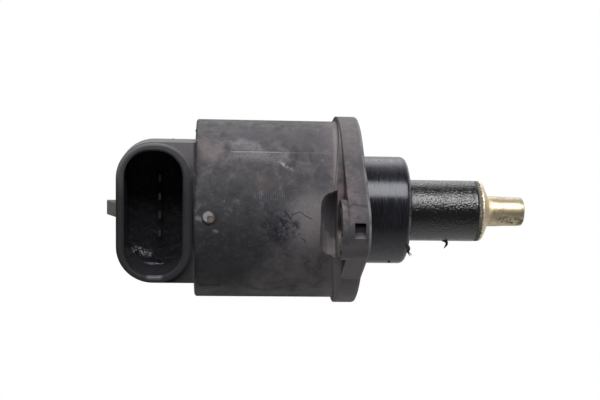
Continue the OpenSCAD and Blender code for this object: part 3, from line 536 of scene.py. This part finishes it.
def gate_marks(s, colour):
    """The moulding gate: a scarred nub with a painted highlight crescent, a brown middle, flecks
    round it and a painted shadow round it.
    """
    close = s.ragged(2.2, 0.35, seed=4.0)
    gate = s.times(s.spot(GATE, GATE_R, 0.12), s.ramp(s.y, -21.75, -21.9))
    colour = s.mix(s.times(gate, 0.9), colour, (0.070, 0.064, 0.060))
    # A painted highlight crescent on the nub.
    crescent = s.minus(s.spot((-36.05, -22.2, 1.65), 1.00, 0.30, close),
                       s.spot((-35.55, -22.2, 1.15), 0.55, 0.35, close), clamp=True)
    crescent = s.times(crescent, gate, s.ramp(s.speckle, 0.25, 0.55, 0.4, 0.95))
    colour = s.mix(crescent, colour, (0.27, 0.262, 0.255))
    middle = s.times(s.spot((-35.4, -22.2, 0.95), 0.35, 0.40, close), gate, 0.9)
    colour = s.mix(middle, colour, (0.150, 0.120, 0.095))
    flecks = s.most(s.stroke((-38.5, -21.8, 1.2), (-37.8, -21.9, 1.0), 0.15, 0.7, close),
                    s.stroke((-34.6, -21.8, -1.7), (-34.0, -21.8, -1.9), 0.10, 0.5, close))
    colour = s.mix(s.times(flecks, 0.45), colour, (0.20, 0.195, 0.190))
    # A painted shadow on the drum round the nub.
    on_wall = s.ramp(s.radius, DRUM_R + 0.07, DRUM_R + 0.02)
    round_it = s.times(s.spot((-35.6, -21.9, 1.2), 1.75, 0.35), on_wall, 0.7)
    return s.mix(round_it, colour, (0.022, 0.020, 0.020))


def moulding_material():
    s = Moulding()
    colour = s.mix(s.ramp(s.fine, 0.3, 0.75), (0.024, 0.024, 0.026), (0.046, 0.045, 0.049))
    for paint in (dust_and_mottle, worn_and_greasy, line_and_scuffs, scratches, flange_marks,
                  clearance_marks, ear_marks, socket_marks, gate_marks):
        colour = paint(s, colour)
    tinted = s.vector("MULTIPLY", colour, MOULDING_TINT)

    grain = s.bump(s.speckle, 0.022)
    relief = s.bump(s.noise(0.5, 5, 0.55, seed=2.0), 0.09, grain)
    step = s.bump(s.times(s.on_drum, s.ramp(s.from_line, -0.12, 0.06)), 0.05, relief)
    residue = s.times(s.inside, s.noise(0.7, 4, 0.6, seed=14.0, warp=1.2))
    greasy = s.bump(residue, 0.7, step)
    wet = s.most(s.inside, s.times(s.grease, 0.6))
    rough = s.blend(wet, s.ramp(s.fine, 0.2, 0.8, 0.60, 0.80), 0.20)
    return s.finish(tinted, rough, normal=greasy, specular=0.22)


def seal_material():
    s = Shader("seal_rubber")
    rings = s.noise(1.0, 3, 0.6, at=s.stretch(3.4, 0.10, 0.10), seed=4.0)
    fine = s.noise(1.0, 3, 0.7, at=s.stretch(11.0, 0.30, 0.30), seed=8.0)
    blotch = s.noise(0.7, 4, 0.6, seed=3.0)
    colour = s.mix(s.ramp(fine, 0.35, 0.7), (0.006, 0.006, 0.008), (0.018, 0.018, 0.022))
    # A paler coat on the top, partly a painted reflection.
    film_and_painted_light = s.times(s.ramp(s.nz, 0.70, 0.98), s.ramp(blotch, 0.3, 0.7, 0.5, 1.0), 0.75)
    colour = s.mix(film_and_painted_light, colour, (0.044, 0.043, 0.050))
    # Painted reflection of the floor on faces that look down.
    low = s.times(s.ramp(s.nz, -0.10, -0.85), s.ramp(blotch, 0.3, 0.7, 0.4, 1.0), 0.7)
    colour = s.mix(low, colour, (0.060, 0.060, 0.062))
    edge = s.times(s.band(s.x, 12.1, 12.7, 0.25), s.ramp(s.nz, -0.5, 0.2), s.ramp(blotch, 0.3, 0.6))
    colour = s.mix(s.times(edge, 0.6), colour, (0.16, 0.16, 0.17))
    wavy = s.bump(rings, 0.055)
    streaky = s.bump(fine, 0.020, wavy)
    rough = s.plus(s.ramp(fine, 0.3, 0.7, 0.13, 0.27), s.times(film_and_painted_light, 0.25))
    s.bsdf.inputs["Specular Tint"].default_value = (0.91, 0.92, 1.0, 1)
    return s.finish(colour, rough, normal=streaky, specular=0.5)


def sleeve_material():
    s = Shader("black_sleeve")
    wrinkle = s.noise(1.5, 3, 0.55, at=s.stretch(0.85, 1.1, 1.15), warp=0.8, seed=2.0)
    grain = s.noise(5.0, 2, 0.6, seed=6.0)
    colour = s.mix(s.ramp(grain, 0.35, 0.7), (0.005, 0.005, 0.006), (0.014, 0.014, 0.015))
    # Painted reflection of the floor on faces that look down.
    low = s.times(s.ramp(s.nz, -0.40, -0.98), s.ramp(wrinkle, 0.3, 0.7, 0.5, 1.0), 0.7)
    colour = s.mix(low, colour, (0.085, 0.082, 0.082))
    pebbles = s.noise(1.9, 1, 0.5, at=s.stretch(1.5, 1.1, 1.1), seed=10.0)
    folded = s.bump(pebbles, 0.17, s.bump(wrinkle, 0.03))
    stippled = s.bump(grain, 0.020, folded)
    return s.finish(colour, s.ramp(grain, 0.3, 0.7, 0.08, 0.17), normal=stippled, specular=0.75)


def zinc_material():
    s = Shader("yellow_zinc")
    stain = s.noise(0.9, 5, 0.6, seed=1.0)
    frayed = s.ragged(1.6, 0.7, seed=5.0)
    colour = s.mix(s.ramp(stain, 0.35, 0.75), (0.60, 0.52, 0.37), (0.47, 0.37, 0.23))
    colour = s.mix(s.ramp(s.x, 34.6, 33.9, 0.0, 0.8), colour, (0.86, 0.77, 0.60))
    green = s.times(s.band(s.x, 41.0, 44.0, 1.5), s.ramp(s.nz, 0.0, 0.5), 0.25)
    colour = s.mix(green, colour, (0.46, 0.50, 0.36))

    # Soot: a ragged ring on the land's rear edge, and smears along the stub's lower side
    ring = s.times(s.ramp(s.vector_x(frayed), 31.55, 31.20),
                   s.ramp(s.noise(1.3, 4, 0.6, seed=7.0), 0.26, 0.42))
    smear = s.path([(36.4, -3.6, -0.9), (38.6, -3.3, -1.7), (40.6, -3.2, -1.9),
                    (42.6, -2.6, -2.6)], 0.60, 1.1, frayed)
    smear = s.times(smear, s.ramp(s.noise(1.2, 5, 0.7, seed=9.0, warp=0.4), 0.36, 0.62))
    speck = s.ramp(s.noise(3.2, 3, 0.6, seed=12.0), 0.66, 0.74)
    soot = s.most(s.most(ring, smear), s.times(speck, s.ramp(s.nz, 0.2, -0.5), 0.8))
    colour = s.mix(s.times(soot, 0.92), colour, (0.045, 0.032, 0.022))
    turned = s.bump(s.noise(1.0, 2, 0.5, at=s.stretch(14.0, 0.2, 0.2)), 0.010)
    worn = s.plus(s.ramp(stain, 0.3, 0.8, 0.36, 0.48), s.ramp(s.x, 35.2, 34.2, 0.0, 0.12))
    rough = s.blend(soot, worn, 0.7)
    return s.finish(colour, rough, metal=s.blend(soot, 0.9, 0.1), normal=turned)


def bush_material():
    s = Shader("plated_bush")
    spots = s.noise(1.6, 5, 0.65, seed=7.0)
    frayed = s.ragged(1.8, 0.6, seed=2.0)
    colour = s.mix(s.ramp(spots, 0.35, 0.65), (0.20, 0.175, 0.140), (0.085, 0.066, 0.050))
    # Painted shade, with dirt, over the upper part, where the bolt hole lies in shadow.
    painted_shade_and_grime = s.times(s.ramp(s.vector_z(frayed), -1.8, -0.4), 0.93)
    colour = s.mix(painted_shade_and_grime, colour, (0.020, 0.015, 0.013))
    rough = s.ramp(spots, 0.3, 0.7, 0.40, 0.70)
    return s.finish(colour, rough, metal=s.blend(painted_shade_and_grime, 0.3, 0.0), normal=s.bump(spots, 0.10))


def soot_material():
    s = Shader("soot")
    crumbs = s.noise(4.0, 4, 0.7)
    colour = s.mix(s.ramp(crumbs, 0.35, 0.7), (0.012, 0.010, 0.010), (0.050, 0.040, 0.036))
    return s.finish(colour, 0.75, normal=s.bump(crumbs, 0.06), specular=0.3)


def plain_metal(name, colour, rough, metal=1.0, scale=3.0):
    s = Shader(name)
    mottle = s.noise(scale, 4, 0.6)
    dull = tuple(0.72 * c for c in colour)
    made = s.mix(s.ramp(mottle, 0.3, 0.7), colour, dull)
    uneven = s.blend(mottle, rough * 0.8, rough * 1.3)
    return s.finish(made, uneven, metal=metal, normal=s.bump(mottle, 0.008))


def plain_plastic(name, colour, rough):
    return plain_metal(name, colour, rough, metal=0.0, scale=2.0)


def dress_nodes():
    moulding = moulding_material()
    seal = seal_material()
    steel = plain_metal("bright_steel", (0.62, 0.62, 0.63), 0.28)
    stator = plain_metal("stator_steel", (0.42, 0.43, 0.45), 0.4)
    tin = plain_metal("terminal_tin", (0.17, 0.17, 0.175), 0.45)
    copper = plain_metal("copper", (0.72, 0.36, 0.18), 0.35)
    nylon = plain_plastic("natural_nylon", (0.78, 0.75, 0.64), 0.5)
    looks = {
        moulding: ["housing"],
        plain_plastic("front_moulding", (0.045, 0.045, 0.048), 0.5): ["nose_carrier"],
        seal: ["nose_seal", "carrier_o_ring", "wiper_ring"],
        sleeve_material(): ["guide_sleeve"],
        zinc_material(): ["pintle_tip"],
        bush_material(): ["bolt_bush_near", "bolt_bush_far"],
        tin: ["terminal_1", "terminal_2", "terminal_3", "terminal_4"],
        plain_plastic("board", (0.04, 0.20, 0.09), 0.4): ["terminal_board"],
        copper: ["coil_leads", "rear_winding", "front_winding"],
        steel: ["lead_screw", "stop_clip", "anti_turn_plate", "preload_washer",
                "rear_outer_race", "rear_inner_race", "rear_balls",
                "front_outer_race", "front_inner_race", "front_balls"],
        stator: ["rear_stator_cup", "rear_claw_plate", "front_stator_cup", "front_claw_plate"],
        nylon: ["rotor_hub", "rear_bobbin", "front_bobbin"],
        plain_metal("bronze", (0.50, 0.34, 0.16), 0.5): ["sleeve_bush"],
        plain_metal("brass", (0.78, 0.60, 0.28), 0.3): ["lead_nut"],
        plain_metal("magnet", (0.10, 0.10, 0.105), 0.5, metal=0.3): ["ring_magnet"],
    }
    for material, names in looks.items():
        for name in names:
            nodes[name].data.materials.clear()
            nodes[name].data.materials.append(material)


# Soot crumbs and fibres that hang on the nose, the sleeve and the drum's top
def crumb(name, material, path, flat, seed):
    """A closed crumb or fibre along a path of x, y, z and radius in millimetres."""
    draw = random.Random(seed)
    points = [Vector(p[:3]) for p in path]
    mesh = bmesh.new()
    rings = []
    for i, (point, (*_, radius)) in enumerate(zip(points, path)):
        ahead = points[min(i + 1, len(points) - 1)] - points[max(i - 1, 0)]
        side = ahead.cross(Vector((0, 1, 0))).normalized()
        deep = ahead.cross(side).normalized()
        ring = []
        for k in range(CRUMB_SIDES):
            turn = 2 * math.pi * k / CRUMB_SIDES
            reach = radius * draw.uniform(0.75, 1.25)
            corner = (point + side * (reach * math.cos(turn))
                      + deep * (reach * flat * math.sin(turn)))
            ring.append(mesh.verts.new(corner * MM))
        rings.append(ring)
    for near, far in zip(rings, rings[1:]):
        for k in range(CRUMB_SIDES):
            after = (k + 1) % CRUMB_SIDES
            mesh.faces.new((near[k], near[after], far[after], far[k]))
    mesh.faces.new(rings[0])
    mesh.faces.new(rings[-1])
    bmesh.ops.recalc_face_normals(mesh, faces=mesh.faces)
    data = bpy.data.meshes.new(name)
    mesh.to_mesh(data)
    mesh.free()
    for face in data.polygons:
        face.use_smooth = True
    data.materials.append(material)
    piece = bpy.data.objects.new(name, data)
    bpy.context.scene.collection.objects.link(piece)
    smooth = piece.modifiers.new("smooth", "SUBSURF")
    smooth.levels = 1
    smooth.render_levels = 1
    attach(piece, "valve_body")


def make_soot():
    soot = soot_material()
    crumb("soot_hook", soot,
          [(21.9, -2.2, -6.9, 0.20), (22.7, -2.2, -7.1, 0.50), (23.5, -2.2, -7.4, 0.55),
           (23.8, -2.2, -8.0, 0.45), (23.5, -2.2, -8.7, 0.26), (22.9, -2.2, -9.3, 0.07)],
          flat=0.8, seed=1)
    crumb("soot_flake", soot,
          [(11.8, -11.6, -6.2, 0.12), (12.1, -11.5, -6.9, 0.42), (12.35, -11.4, -7.5, 0.55),
           (12.3, -11.2, -8.1, 0.50), (12.0, -10.9, -8.7, 0.15)],
          flat=0.7, seed=2)
    crumb("soot_thread", soot,
          [(12.2, -11.0, -8.0, 0.16), (12.6, -11.0, -8.5, 0.15), (12.9, -10.9, -8.95, 0.13),
           (13.4, -10.9, -9.3, 0.07)],
          flat=0.9, seed=3)
    crumb("soot_strand", soot,
          [(12.2, -11.0, -8.3, 0.16), (12.5, -10.9, -9.0, 0.15), (13.05, -10.9, -9.6, 0.07)],
          flat=0.9, seed=5)
    crumb("soot_speck", soot,
          [(8.2, -5.9, -12.1, 0.15), (8.6, -5.8, -12.2, 0.30), (9.0, -5.8, -12.1, 0.12)],
          flat=0.7, seed=4)
    crumb("soot_nub", soot,
          [(-45.0, -9.7, 17.3, 0.42), (-44.6, -9.7, 17.8, 0.40), (-44.3, -9.7, 18.05, 0.20)],
          flat=0.9, seed=6)
    crumb("soot_grit", soot,
          [(-39.2, -8.9, 19.4, 0.12), (-39.25, -8.7, 19.9, 0.26), (-39.2, -8.6, 20.3, 0.12)],
          flat=0.8, seed=7)


# Floor, backdrop and light
def show_to_camera(tree, shown, other, out_type):
    """The camera's own rays see the shader shown, and all others see the other one."""
    rays = tree.nodes.new("ShaderNodeLightPath")
    pick = tree.nodes.new("ShaderNodeMixShader")
    tree.links.new(rays.outputs["Is Camera Ray"], pick.inputs[0])
    tree.links.new(other.outputs[0], pick.inputs[1])
    tree.links.new(shown.outputs[0], pick.inputs[2])
    out = tree.nodes.new(out_type)
    tree.links.new(pick.outputs[0], out.inputs[0])


def make_floor():
    """White for the camera; to the object it is a lit floor, dark in front and pale behind."""
    bpy.ops.mesh.primitive_plane_add(size=FLOOR_SIZE, location=(0, 0, FLOOR_Z))
    floor = bpy.context.object
    floor.name = "floor"
    material = bpy.data.materials.new("floor_white")
    material.use_nodes = True
    tree = material.node_tree
    tree.nodes.clear()
    place = tree.nodes.new("ShaderNodeTexCoord")
    along = separate(tree, place.outputs["Object"])[1]
    blend = tree.nodes.new("ShaderNodeMix")
    blend.data_type = "RGBA"
    blend.inputs[6].default_value = FLOOR_FRONT
    blend.inputs[7].default_value = FLOOR_BEHIND
    tree.links.new(smooth_step(tree, along, FLOOR_FADE, (0.0, 1.0)), blend.inputs["Factor"])
    lit = tree.nodes.new("ShaderNodeBsdfDiffuse")
    tree.links.new(blend.outputs[2], lit.inputs["Color"])
    plain = tree.nodes.new("ShaderNodeEmission")
    plain.inputs["Color"].default_value = WHITE
    show_to_camera(tree, plain, lit, "ShaderNodeOutputMaterial")
    floor.data.materials.append(material)


def make_world():
    """White for the camera; other rays see a room that is dim in front and bright behind.

    Glossy and transmission rays see its back at full strength.
    """
    world = bpy.data.worlds.new("room")
    bpy.context.scene.world = world
    world.use_nodes = True
    tree = world.node_tree
    tree.nodes.clear()
    place = tree.nodes.new("ShaderNodeTexCoord")
    along = separate(tree, place.outputs["Generated"])[1]
    behind = smooth_step(tree, along, ROOM_FADE, (ROOM_DIM, ROOM_BEHIND))
    rays = tree.nodes.new("ShaderNodeLightPath")
    sharp = math_node(tree, "MAXIMUM", rays.outputs["Is Glossy Ray"],
                      rays.outputs["Is Transmission Ray"])
    lift = math_node(tree, "MULTIPLY_ADD", sharp, 1 / ROOM_BEHIND - 1, 1.0)
    room = tree.nodes.new("ShaderNodeBackground")
    room.inputs["Color"].default_value = ROOM_TINT
    tree.links.new(math_node(tree, "MULTIPLY", behind, lift), room.inputs["Strength"])
    plain = tree.nodes.new("ShaderNodeBackground")
    plain.inputs["Color"].default_value = WHITE
    plain.inputs["Strength"].default_value = 1.0
    show_to_camera(tree, plain, room, "ShaderNodeOutputWorld")


def make_lamps():
    for name, lamp in LAMPS.items():
        data = bpy.data.lights.new(name, "AREA")
        data.shape = "RECTANGLE"
        data.size, data.size_y = lamp["size"]
        data.energy = lamp["power"]
        stand = bpy.data.objects.new(name, data)
        stand.location = lamp["place"]
        facing = Vector(LAMP_AIM) - Vector(lamp["place"])
        stand.rotation_euler = facing.to_track_quat("-Z", "Y").to_euler()
        bpy.context.scene.collection.objects.link(stand)


make_camera()
dress_nodes()
make_soot()
make_floor()
make_world()
make_lamps()
bpy.context.scene.view_settings.view_transform = "Standard"
